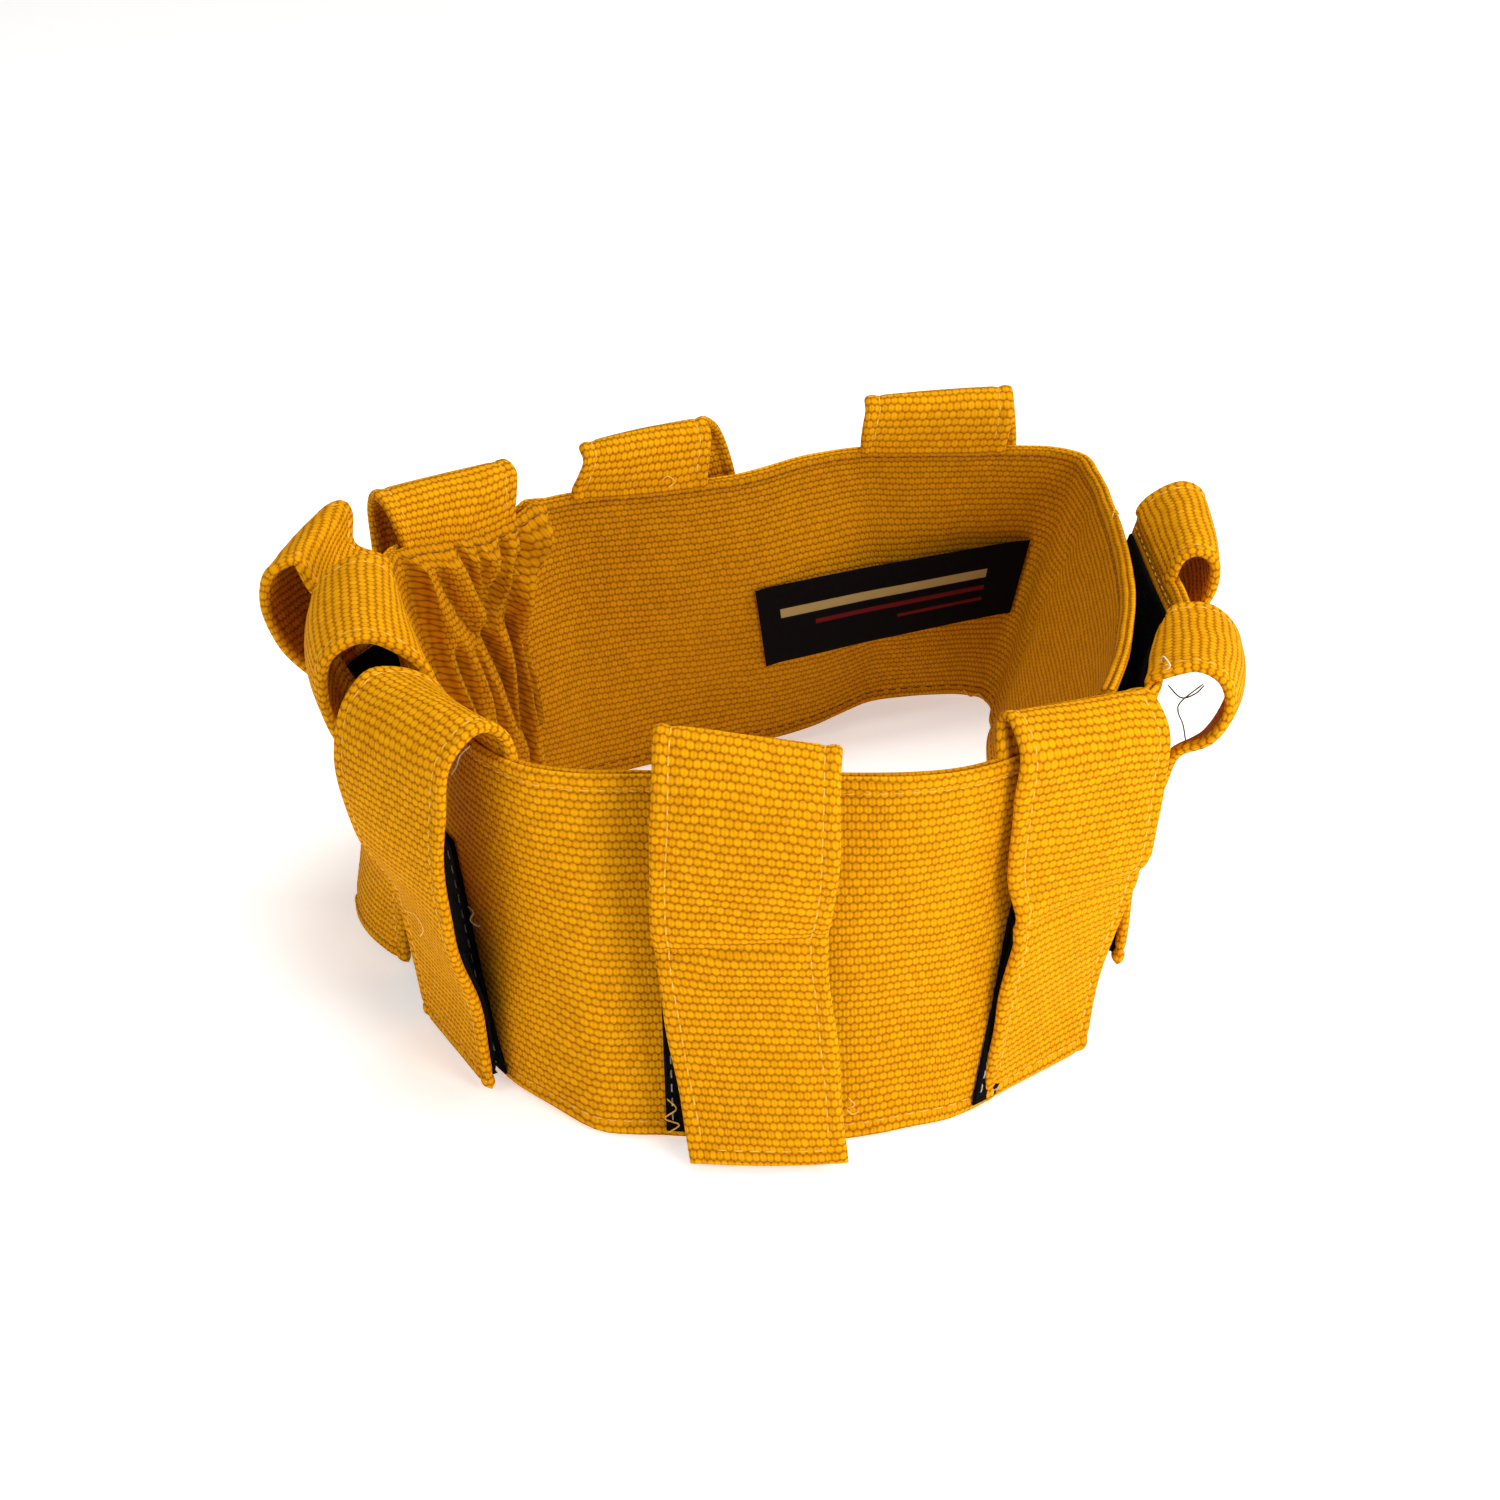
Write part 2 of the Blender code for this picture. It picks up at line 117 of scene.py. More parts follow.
# How each strap lies, as (sideways, out, height) at its edge towards the outer closure end and at
# its other edge: crest, shoulder, bulge, then four places down to the free end. out and height
# are measured from the foot of the band, in a frame turned by turn degrees from that of the hinge.
# flat is 1 where the strap doesn't follow the hollows of the band. crown is how far its middle
# bulges above its landing, which is the first of the four places, and curl the same from there
# down. lean is the share of the way out to its crest that it has gone halfway up to it. root and
# tape are the sideways reach of its sewn root and of its loop tape (below, then above), and
# crease is the height and depth of a crease across it.
STRAPS = {
    "strap_1": dict(
        tape=(-13.5, 20.5, -13.5, 20.0), crease=(51, 1.0),
        first=((-19.3, 4, 92), (-19.1, 9.5, 86.5), (-18.0, 11.8, 70), (-15.4, 8.0, 50),
               (-15.8, 8.4, 36), (-16.6, 9.4, 20), (-17.2, 11.6, 1.5)),
        second=((19.3, 2.5, 95), (19.7, 9, 88.5), (20.3, 11.6, 71), (20.7, 9.6, 53),
                (19.0, 8.8, 37), (16.6, 9.6, 20), (13.8, 11.6, 1)),
    ),
    "strap_2": dict(
        turn=-16, flat=1, root=(-12, 25), tape=(-14, 25.8, -16, 17.6), crease=(47, 0.8),
        first=((-12.5, 5, 90), (-14, 9.6, 86), (-15.3, 11.2, 72), (-15.3, 10.4, 60),
               (-15, 5.5, 44), (-14, 1.4, 24), (-12, 0.8, 2)),
        second=((22.5, 4, 92.5), (22, 9.6, 88.5), (21.5, 10.4, 74), (21.2, 11.4, 58),
                (18.2, 13.0, 47), (19.5, 11.8, 27), (17.8, 8.6, 1)),
    ),
    "strap_3": dict(
        turn=28, flat=1, tape=(-10.5, 18, 7, 18),
        first=((-15, 7.5, 91.5), (-14, 14.5, 87), (-13, 18.0, 73), (-12.4, 18.8, 58),
               (-12.4, 18.2, 45), (-12, 12.6, 24), (-12, 10.6, 1)),
        second=((20.5, 9, 93), (20.5, 15, 89), (20, 18.6, 78), (20, 15.4, 58),
                (20, 6.8, 37), (20, 3, 17), (20, 1.2, 2)),
    ),
    "strap_4": dict(
        flat=1, crown=2.5, curl=3,
        first=((-17, 9.5, 96), (-17, 17.5, 92), (-17, 20, 82), (-16, 17.5, 69),
               (-12.5, 9.5, 54), (-8.5, 9.8, 28), (-5, 11.5, 2)),
        second=((18.5, 6.5, 98.5), (19, 14.5, 95), (19.5, 19, 84), (20, 14.5, 70),
                (21, 8.5, 57), (23.5, 14, 28), (24, 19.5, 2)),
    ),
    "strap_5": dict(
        flat=1, lean=0.95, root=(-19, 6),
        first=((-18, 16, 97), (-18.5, 22.5, 95), (-18.5, 26, 87), (-18.5, 24.5, 76),
               (-18.5, 17, 65), (-17.5, 10, 45), (-16, 9, 5)),
        second=((18, 8, 94), (18, 13, 92), (18.5, 15, 84), (18.5, 10.5, 72),
                (18.5, 6.5, 58), (18, 6.3, 30), (18, 8, 5)),
    ),
    "strap_6": dict(
        root=(-18.5, 13.5),
        first=((-18.2, 8.5, 93), (-18.3, 13, 88.5), (-18.5, 14, 72), (-18.5, 9, 52),
               (-18.4, 6.4, 40), (-18.2, 6.3, 22), (-18, 6.6, 6)),
        second=((18, 4.5, 94), (18.2, 10, 90), (18.5, 12, 73), (18.5, 9, 52),
                (18.4, 6.4, 40), (18.2, 6.3, 22), (18, 6.6, 6)),
    ),
    "strap_7": dict(
        root=(-16.5, 18),
        first=((-11.6, 5, 94), (-8.6, 10.5, 90), (-6.0, 12.5, 75), (-5.5, 8.5, 54),
               (-5.3, 6.4, 40), (-5.5, 6.3, 20), (-6, 7, 3)),
        second=((21.5, 6, 97), (26, 12.5, 92.5), (31, 14.5, 77), (31.4, 9, 54),
                (31.0, 6.4, 40), (30.2, 6.3, 20), (29.5, 7, 3)),
    ),
    "strap_8": dict(
        root=(-21.5, 16),
        first=((-19.8, 5.5, 96), (-19, 11, 91.5), (-17.5, 12.5, 75), (-16, 8.5, 54),
               (-15.5, 6.4, 40), (-15.2, 6.3, 20), (-15, 7, 3)),
        second=((18, 6, 98), (19.5, 12.5, 93), (20.8, 14.5, 77), (21.2, 9, 54),
                (21.4, 6.4, 40), (21.4, 6.3, 20), (21.4, 7, 3)),
    ),
    "strap_9": dict(
        first=((-18.5, 5.5, 91.5), (-18.5, 10.4, 89.5), (-18.5, 12.6, 82), (-18.5, 10.6, 70),
               (-18.4, 6.6, 60), (-18, 6.3, 36), (-17.6, 6.3, 10)),
        second=((18.5, 3.6, 90.5), (18.5, 7.8, 88.6), (18.5, 10.2, 82), (18.5, 8.8, 71),
                (18.4, 6.5, 61), (18, 6.3, 36), (17.6, 6.3, 10)),
    ),
    "strap_10": dict(
        first=((-18.5, 9.5, 86), (-18.5, 17, 81), (-18.5, 21, 69), (-18.5, 18, 56),
               (-18.5, 9.5, 46), (-18.2, 6.4, 38), (-17.6, 6.3, 10)),
        second=((18.5, 5.6, 89), (18.5, 12, 86.5), (18.5, 16, 78.5), (18.5, 13.6, 72),
                (18.5, 8.4, 69), (18.2, 6.3, 60), (17.6, 6.3, 12)),
    ),
}
# How freely each of those seven places stands: at 0 it follows the face of the band.
FREEDOM = (1.0, 1.0, 0.7, 0.35, 0.1, 0.0, 0.0)


def unit(vectors):
    """The vectors at length 1."""
    return vectors / np.linalg.norm(vectors, axis=-1)[..., None]


def travelled(line):
    """Distance travelled along a line at each of its points."""
    return np.append(0, np.cumsum(np.linalg.norm(np.diff(line, axis=0), axis=1)))


def nearest(values, wanted):
    """Which of the values lies nearest to the wanted one."""
    return int(np.abs(values - wanted).argmin())


def placed(name, data):
    """A new object in the scene."""
    made = bpy.data.objects.new(name, data)
    bpy.context.collection.objects.link(made)
    return made


# ---- rails from the frame


def distinct_points(node):
    """The corners of a CAD node, in millimetres, each of them once."""
    corners = np.array([v.co for v in frame["nodes"][node].data.vertices], float) * 1000
    corners = np.unique(np.round(corners, 2), axis=0)
    kept = []
    for point in corners:
        if not kept or min(np.linalg.norm(point - k) for k in kept) > 0.05:
            kept.append(point)
    return np.array(kept)


def rim(points):
    """Middles and outward directions of a CAD band's rim, in order along the belt."""
    gaps = np.linalg.norm(points[:, None] - points[None], axis=2)
    np.fill_diagonal(gaps, np.inf)
    pairs = sorted({tuple(sorted((i, int(j)))) for i, j in enumerate(gaps.argmin(axis=1))})
    middles = np.array([(points[i] + points[j]) / 2 for i, j in pairs])
    across = np.array([points[i] - points[j] for i, j in pairs])
    across[:, 2] = 0
    outward = unit(across)
    flip = np.sum(outward * middles, axis=1) < 0
    outward[flip] *= -1
    turn = -np.arctan2(middles[:, 1], middles[:, 0])
    order = np.argsort(turn)
    steps = np.diff(np.append(turn[order], turn[order[0]] + 2 * math.pi))
    order = np.roll(order, -(int(steps.argmax()) + 1))
    return middles[order], outward[order]


def read_rails():
    """Lower and upper rail of the middle of the band, over all its CAD nodes."""
    low_rail, top_rail = [], []
    for node in ("closure_end_outer", "front_band_outer", "gather_casing_outer", "back_band_outer"):
        points = distinct_points(node)
        for rail, rim_points in (
            (low_rail, points[points[:, 2] < 1]),
            (top_rail, points[points[:, 2] > 70]),
        ):
            middles, outward = rim(rim_points)
            middles = middles - outward * (LAYER_GAP + CANVAS) / 2
            for middle in middles:
                if not rail or np.linalg.norm(middle - rail[-1]) > 1.5:
                    rail.append(middle)
    return np.array(low_rail), np.array(top_rail)


LOW_RAIL, TOP_RAIL = read_rails()
if len(LOW_RAIL) != len(TOP_RAIL):
    raise RuntimeError(f"rails differ: {len(LOW_RAIL)} and {len(TOP_RAIL)} points")
ALONG = travelled(TOP_RAIL[:, :2])
BELT_LENGTH = float(ALONG[-1])


def smooth(x, xs, ys):
    """Values and slopes at x of the smooth curve through the points (xs, ys)."""
    wanted = np.asarray(x, float)
    x = np.clip(wanted, xs[0], xs[-1])
    slopes = np.gradient(ys, xs, axis=0)
    i = np.clip(np.searchsorted(xs, x, side="right") - 1, 0, len(xs) - 2)
    width = (xs[i + 1] - xs[i])[..., None]
    t = (x - xs[i])[..., None] / width
    a, b = ys[i], ys[i + 1]
    ma, mb = slopes[i] * width, slopes[i + 1] * width
    value = (
        (2 * t**3 - 3 * t**2 + 1) * a
        + (t**3 - 2 * t**2 + t) * ma
        + (3 * t**2 - 2 * t**3) * b
        + (t**3 - t**2) * mb
    )
    slope = (
        (6 * t**2 - 6 * t) * (a - b) + (3 * t**2 - 4 * t + 1) * ma + (3 * t**2 - 2 * t) * mb
    ) / width
    return value + slope * (wanted - x)[..., None], slope


def step(x, start, end):
    """0 before start, 1 after end and a smooth change between them."""
    t = np.clip((np.asarray(x, float) - start) / (end - start), 0, 1)
    return t * t * (3 - 2 * t)


def bump(x, middle, reach):
    """1 at the middle, falling smoothly to almost 0 at two reaches from it."""
    return np.exp(-(((x - middle) / reach) ** 2))


def along_of(point):
    """Distance along the belt of the place on the top rail nearest to a point."""
    fine = np.linspace(0, BELT_LENGTH, 6000)
    rail, _ = smooth(fine, ALONG, TOP_RAIL)
    return float(fine[np.linalg.norm(rail[:, :2] - np.asarray(point)[:2], axis=1).argmin()])


def box_middle(node):
    """The middle of a CAD node's box, in millimetres."""
    low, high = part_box(node)
    return np.array(low + high) * 500


JOINTS = {joint["name"]: joint for joint in frame["joints"]}
HINGE_ALONG = along_of(np.array(JOINTS["closure_open"]["pos_m"]) * 1000)
GATHERS = along_of(box_middle("gather_casing_outer"))
LABEL_PLACE = along_of(box_middle("inner_label"))
INNER_END = BELT_LENGTH - CLOSURE_OVERLAP


# The crease where the back turns into the right side: depth, then heights and places along.
CORNER_DEPTH = 1.8
CORNER = ((14, 45.5, 80.5), (558, 559.3, 563.4))


def relief(along, height):
    """How far the cloth stands out of its smooth shape, in millimetres."""
    along, height = np.asarray(along, float), np.asarray(height, float)
    wave = 0.5 * np.sin(along / 23 + height / 31) * np.sin(height / 19 + along / 57)
    wave = wave + 0.35 * np.sin(along / 9.5 - height / 26 + 1.3) * np.sin(height / 13 + 0.6)
    free = step(along, HINGE_ALONG + 4, HINGE_ALONG + 30)
    free = free * (1 - step(along, INNER_END - 30, INNER_END))
    stiff = LABEL_PULL * bump(along, LABEL_PLACE - 5, 36) * bump(height, 38, 26)
    corner = np.interp(height, *CORNER)
    fold = CORNER_DEPTH * np.exp(-np.abs(along - corner) / 5) * (1 - 0.85 * step(height, 60, 82))
    return wave * free - stiff + fold


# Creases of the gathered lining: places (height, along) from top to bottom, width and depth.
CREASES = (
    (((86, 376), (74, 377.4), (67, 377.8)), 0.9, 0.8),
    (((80, 388), (75.5, 385.9), (68, 381.8), (60.5, 377.7)), 1.1, 1.0),
    (((86, 382), (72, 380), (63, 378.4)), 0.6, 0.45),
    (((86, 394), (78, 392), (70, 387), (62, 384.5)), 0.7, 0.5),
    (((57, 376.2), (41, 379.1), (26, 379.3)), 1.2, 1.0),
    (((59, 384.2), (45, 383.5), (31.5, 382.8), (10, 379.8)), 1.2, 1.0),
    (((54, 365.4), (44, 366.2), (34, 366.3)), 1.0, 0.7),
    (((52, 371.5), (38, 372.6), (20, 373)), 0.9, 0.5),
    (((76, 368), (64, 370.5), (58, 373.5)), 0.9, 0.5),
    (((50, 387.2), (33, 385.9), (22, 386.2)), 0.7, 0.6),
)
PUFF_LEFT = ((0, 84), (362.5, 358.5))
PUFF_RIGHT = ((0, 12, 26, 33, 50, 61, 67, 73, 76, 81, 84),
              (383, 384, 386.9, 387.4, 388, 389.2, 391.3, 394, 397.3, 401.1, 401.5))


def gathering(along, height, depth):
    """Puckers of the gathered stretch: puffed folds between creases that meet at half height."""
    along, height = np.broadcast_arrays(np.asarray(along, float), np.asarray(height, float))
    left, right = np.interp(height, *PUFF_LEFT), np.interp(height, *PUFF_RIGHT)
    puff = step(along, left, left + 2.2) * (1 - step(along, right - 0.4, right + 1.6))
    puff = puff * (0.3 + 0.7 * step(height, 0, 14)) * (1 - 0.88 * step(height, 78, 83.5))
    puff = puff * (0.85 + 0.15 * np.sin(along / 1.9 + height / 6.0))
    flap = bump(along, right - 1.8, 2.2) * step(height, 48, 66)
    flap = flap * (1 - 0.88 * step(height, 77, 83.5))
    for places, width, deep in CREASES:
        heights, alongs = np.array(places[::-1], float).T
        middle = np.interp(height, heights, alongs)
        reach = step(height, heights[0] - 4, heights[0] + 2) * (
            1 - step(height, heights[-1] - 2, heights[-1] + 4)
        )
        puff = puff * (1 - deep * reach * bump(along, middle, width))
    return -depth * (puff + 0.5 * flap)


def droop(along, height):
    """How far the gathers pull the hems together, as a change of height."""
    along = np.asarray(along, float)
    near = bump(along, GATHERS, 15)
    ruffle = 0.2 * np.sin(along * 1.55) * bump(along, GATHERS, 15) * step(height, 60, 84)
    flap = 1.8 * bump(along, GATHERS + 15, 4.0) * step(height, 55, 84)
    return near * (-3.0 * step(height, 40, 84) + 1.2 * (1 - step(height, 0, 30))) + ruffle + flap


def band_point(along, height, out, folded=0.0):
    """Points of the standing band: height up the canvas, out from the middle of the band."""
    along, height, out = np.broadcast_arrays(
        np.asarray(along, float), np.asarray(height, float), np.asarray(out, float)
    )
    low, low_slope = smooth(along, ALONG, LOW_RAIL)
    top, top_slope = smooth(along, ALONG, TOP_RAIL)
    share = (height / HEIGHT)[..., None]
    slope = low_slope * (1 - share) + top_slope * share
    outward = np.stack([-slope[..., 1], slope[..., 0], np.zeros_like(share[..., 0])], axis=-1)
    outward = unit(outward)
    moved = out + relief(along, height)
    if folded:
        moved = moved + gathering(along, height, folded)
    points = low * (1 - share) + top * share + outward * moved[..., None]
    points[..., 2] = np.maximum(points[..., 2] + droop(along, height), 0.0)
    return points


# ---- meshes


def mesh_object(name, points, faces, uvs, look):
    """A smooth-shaded mesh from points in millimetres; uvs has one pair per face corner."""
    data = bpy.data.meshes.new(name)
    data.from_pydata((np.asarray(points) / 1000).tolist(), [], faces)
    layer = data.uv_layers.new(name="weave")
    layer.data.foreach_set("uv", np.asarray(uvs, np.float32).ravel())
    data.polygons.foreach_set("use_smooth", [True] * len(data.polygons))
    data.materials.append(look)
    data.validate()
    return placed(name, data)


def travelled_round(rings, start):
    """Distance round the rings of a skin, one column longer than the rings."""
    closed = np.concatenate([rings, rings[:, :1]], axis=1)
    steps = np.linalg.norm(np.diff(closed, axis=1), axis=2).mean(axis=0)
    return start + np.append(0, np.cumsum(steps))


def tube(name, rings, us, vs, look):
    """A closed skin through rings of points. us and vs are in millimetres, one column longer."""
    rows, columns = rings.shape[:2]
    points = rings.reshape(-1, 3)
    faces, uvs = [], []
    for i in range(rows - 1):
        for k in range(columns):
            here, above = i * columns, (i + 1) * columns
            beside = (k + 1) % columns
            faces.append((here + k, here + beside, above + beside, above + k))
            corners = (i, k), (i, k + 1), (i + 1, k + 1), (i + 1, k)
            uvs += [(us[corner], vs[corner]) for corner in corners]
    for i, order in ((0, range(columns - 1, -1, -1)), (rows - 1, range(columns))):
        faces.append(tuple(i * columns + k for k in order))
        uvs += [(us[i, k], vs[i, k]) for k in order]
    made = mesh_object(name, points, faces, np.array(uvs) / MM_PER_UV, look)
    flip_if_inside_out(made)
    return made


def flip_if_inside_out(made):
    """Turns the faces outwards where the mesh encloses a negative volume."""
    data = made.data
    data.calc_loop_triangles()
    corners = np.array([v.co for v in data.vertices], float)
    triangles = np.array([t.vertices for t in data.loop_triangles])
    a, b, c = (corners[triangles[:, k]] for k in range(3))
    if np.sum(a * np.cross(b, c)) < 0:
        data.flip_normals()


def rounded(inset, radius, least=0.0):
    """Share of the full thickness at a distance from an edge that is rounded off."""
    return np.sqrt(np.clip(1 - np.clip(1 - inset / radius, 0, 1) ** 2, least, 1))


def hem_half(inset, thickness, rolled, groove=0.3):
    """Half the thickness of cloth at a distance from its edge: a rolled hem with a sewn groove."""
    half = thickness / 2 * rounded(inset, thickness / 2)
    half = half * (1 + rolled * bump(inset, 1.7, 1.1))
    return half - groove * bump(inset, SEAM_IN, 0.65)


# Distances at which there are rows of points: from a hem, a strap's free end, a patch's edge.
EDGE = np.array([0, 0.1, 0.35, 0.8, 1.5, 2.3, 2.9, 3.5, 4.1, 4.9])
END_EDGE = np.array([0, 0.15, 0.5, 1.0, 1.7, 2.5, 3.1, 3.6, 4.2, 5.0])
PATCH_EDGE = np.array([0, 0.12, 0.4, 0.9, 1.8])


def spaced(low, high, pitch):
    """Places across a piece with two hems: close together at the hems, then about pitch apart."""
    inner = np.arange(low + EDGE[-1] + pitch * 0.6, high - EDGE[-1] - pitch * 0.3, pitch)
    return np.concatenate([low + EDGE, inner, (high - EDGE)[::-1]])


def band_layer(name, along, out, look, folded=0.0):
    """One layer of canvas of the band, with rolled hems at its top and bottom edges."""
    heights = spaced(0.0, HEIGHT, 2.4)
    half = hem_half(np.minimum(heights, HEIGHT - heights), CANVAS, rolled=0.45, groove=0.26)
    start, end = along
    places = [start]
    while places[-1] < end:
        fine = abs(places[-1] - GATHERS) < 24
        places.append(places[-1] + (0.6 if fine else 2.4))
    places[-1] = end
    places = np.array(places)
    ends = np.minimum(places - start, end - places)
    taper = rounded(ends, CANVAS / 2, 0.05)
    outer = band_point(places[:, None], heights[None], out + half[None] * taper[:, None], folded)
    inner = band_point(places[:, None], heights[None], out - half[None] * taper[:, None], folded)
    rings = np.concatenate([outer, inner[:, -2:0:-1]], axis=1)
    us = np.repeat(places[:, None], rings.shape[1] + 1, axis=1)
    vs = np.repeat(travelled_round(rings[::9], 0.0)[None], len(places), axis=0)
    return tube(name, rings, us, vs, look)


def oblong(start, end, low, high):
    """The four corners of an upright piece, as (along, height): below, then above."""
    return (start, low), (end, low), (start, high), (end, high)


def chord_point(corners, t, v, out):
    """Points of a stiff four-cornered piece that bridges the hollows of the band."""
    corners = np.array(corners, float)
    ends = band_point(corners[:, 0], corners[:, 1], out)
    return (ends[0] * (1 - t) + ends[1] * t) * (1 - v) + (ends[2] * (1 - t) + ends[3] * t) * v


def band_patch(name, corners, out, thickness, look, lift=0.0, stiff=0.0):
    """A thin four-cornered piece lying on the band: a tape panel, the label or the elastic."""
    corners = np.array(corners, float)
    length = np.linalg.norm(corners[1] - corners[0])
    width = np.linalg.norm(corners[2] - corners[0])
    across, rows = (
        np.concatenate([
            PATCH_EDGE, np.linspace(3, size - 3, max(3, int(size / pitch))),
            (size - PATCH_EDGE)[::-1],
        ])
        for size, pitch in ((length, 2.5), (width, 4))
    )
    t, v = (across / length)[:, None, None], (rows / width)[None, :, None]
    places = (corners[0] * (1 - t) + corners[1] * t) * (1 - v) + (
        corners[2] * (1 - t) + corners[3] * t
    ) * v
    inset = np.minimum(
        np.minimum(across, length - across)[:, None], np.minimum(rows, width - rows)[None]
    )
    half = thickness / 2 * rounded(inset, 0.5, 0.02)
    raised = out + lift * bump(np.minimum(across, length - across), 0, 3.0)[:, None]
    outer = band_point(places[..., 0], places[..., 1], raised + half)
    inner = band_point(places[..., 0], places[..., 1], raised - half)
    if stiff:
        straight = chord_point(corners, t, v, out) - band_point(places[..., 0], places[..., 1], out)
        outer, inner = outer + straight * stiff, inner + straight * stiff
    rings = np.concatenate([outer, inner[:, -2:0:-1]], axis=1)
    us = np.repeat(across[:, None], rings.shape[1] + 1, axis=1)
    turned = np.concatenate([rows, rows[-2:0:-1], rows[:1]])
    vs = np.repeat(turned[None], len(across), axis=0)
    return tube(name, rings, us, vs, look)


def patch_stitches(corners, out):
    """Stitches round a four-cornered piece, inside its edge."""
    inset = 1.7
    inwards = (inset, inset), (-inset, inset), (inset, -inset), (-inset, -inset)
    moved = [(x + dx, y + dy) for (x, y), (dx, dy) in zip(corners, inwards)]
    ring = [moved[k] for k in (0, 1, 3, 2, 0)]
    made = []
    for (x0, y0), (x1, y1) in zip(ring, ring[1:]):
        count = max(6, int(math.hypot(x1 - x0, y1 - y0)))
        places, heights = np.linspace(x0, x1, count), np.linspace(y0, y1, count)
        line = band_point(places, heights, out)
        beyond = band_point(places, heights, out + 1)
        made += running_stitches(line, beyond - line)
    return made


def thread(path, normals, radius):
    """Points and faces of a thin round thread along a path."""
    path, normals = np.asarray(path, float), np.asarray(normals, float)
    tangents = unit(np.gradient(path, axis=0))
    across = unit(np.cross(tangents, normals))
    up = np.cross(across, tangents)
    sides = THREAD_SIDES
    angles = np.arange(sides) * 2 * math.pi / sides
    ends = np.minimum(np.arange(len(path)), np.arange(len(path))[::-1])
    size = radius * np.where(ends == 0, 0.45, 1.0)
    points = (
        path[:, None]
        + across[:, None] * (np.cos(angles)[None] * size[:, None])[..., None]
        + up[:, None] * (np.sin(angles)[None] * size[:, None])[..., None]
    ).reshape(-1, 3)
    faces = []
    for i in range(len(path) - 1):
        for k in range(sides):
            here, ahead = i * sides, (i + 1) * sides
            beside = (k + 1) % sides
            faces.append((here + k, ahead + k, ahead + beside, here + beside))
    faces.append(tuple(range(sides)))
    faces.append(tuple((len(path) - 1) * sides + k for k in range(sides - 1, -1, -1)))
    return points, faces


def threads_object(name, pieces, look):
    """One object from many (points, faces) threads."""
    points, faces, count = [], [], 0
    for piece_points, piece_faces in pieces:
        points.append(piece_points)
        faces += [tuple(k + count for k in face) for face in piece_faces]
        count += len(piece_points)
    points = np.concatenate(points)
    corners = [k for face in faces for k in face]
    uvs = points[corners][:, :2] / MM_PER_UV
    return mesh_object(name, points, faces, uvs, look)


# Places along a stitch, as shares of its length, and how far it stands off the cloth there.
STITCH_SHARES = np.array([0, 0.18, 0.5, 0.82, 1.0])
STITCH_LIFTS = np.array([-0.32, 0.02, 0.1, 0.02, -0.32])


def running_stitches(line, normals):
    """Short threads along a line that dip into the cloth at both ends."""
    line, normals = np.asarray(line, float), np.asarray(normals, float)
    marks = travelled(line)
    made = []
    start = 1.0
    while start + STITCH_LENGTH < marks[-1] - 0.6:
        places = start + STITCH_LENGTH * STITCH_SHARES
        path, up = (
            np.stack([np.interp(places, marks, values[:, k]) for k in range(3)], axis=1)
            for values in (line, normals)
        )
        up = unit(up)
        made.append(thread(path + up * STITCH_LIFTS[:, None], up, STITCH_RADIUS))
        start += STITCH_PITCH
    return made


def band_stitches(start, end, height, out, side, folded=0.0):
    """Stitches along the band at one height, on its outer (side 1) or inner (side -1) face."""
    places = np.arange(start, end, STITCH_SAMPLE)
    line = band_point(places, height, out, folded)
    beyond = band_point(places, height, out + side, folded)
    return running_stitches(line, beyond - line)


# ---- materials


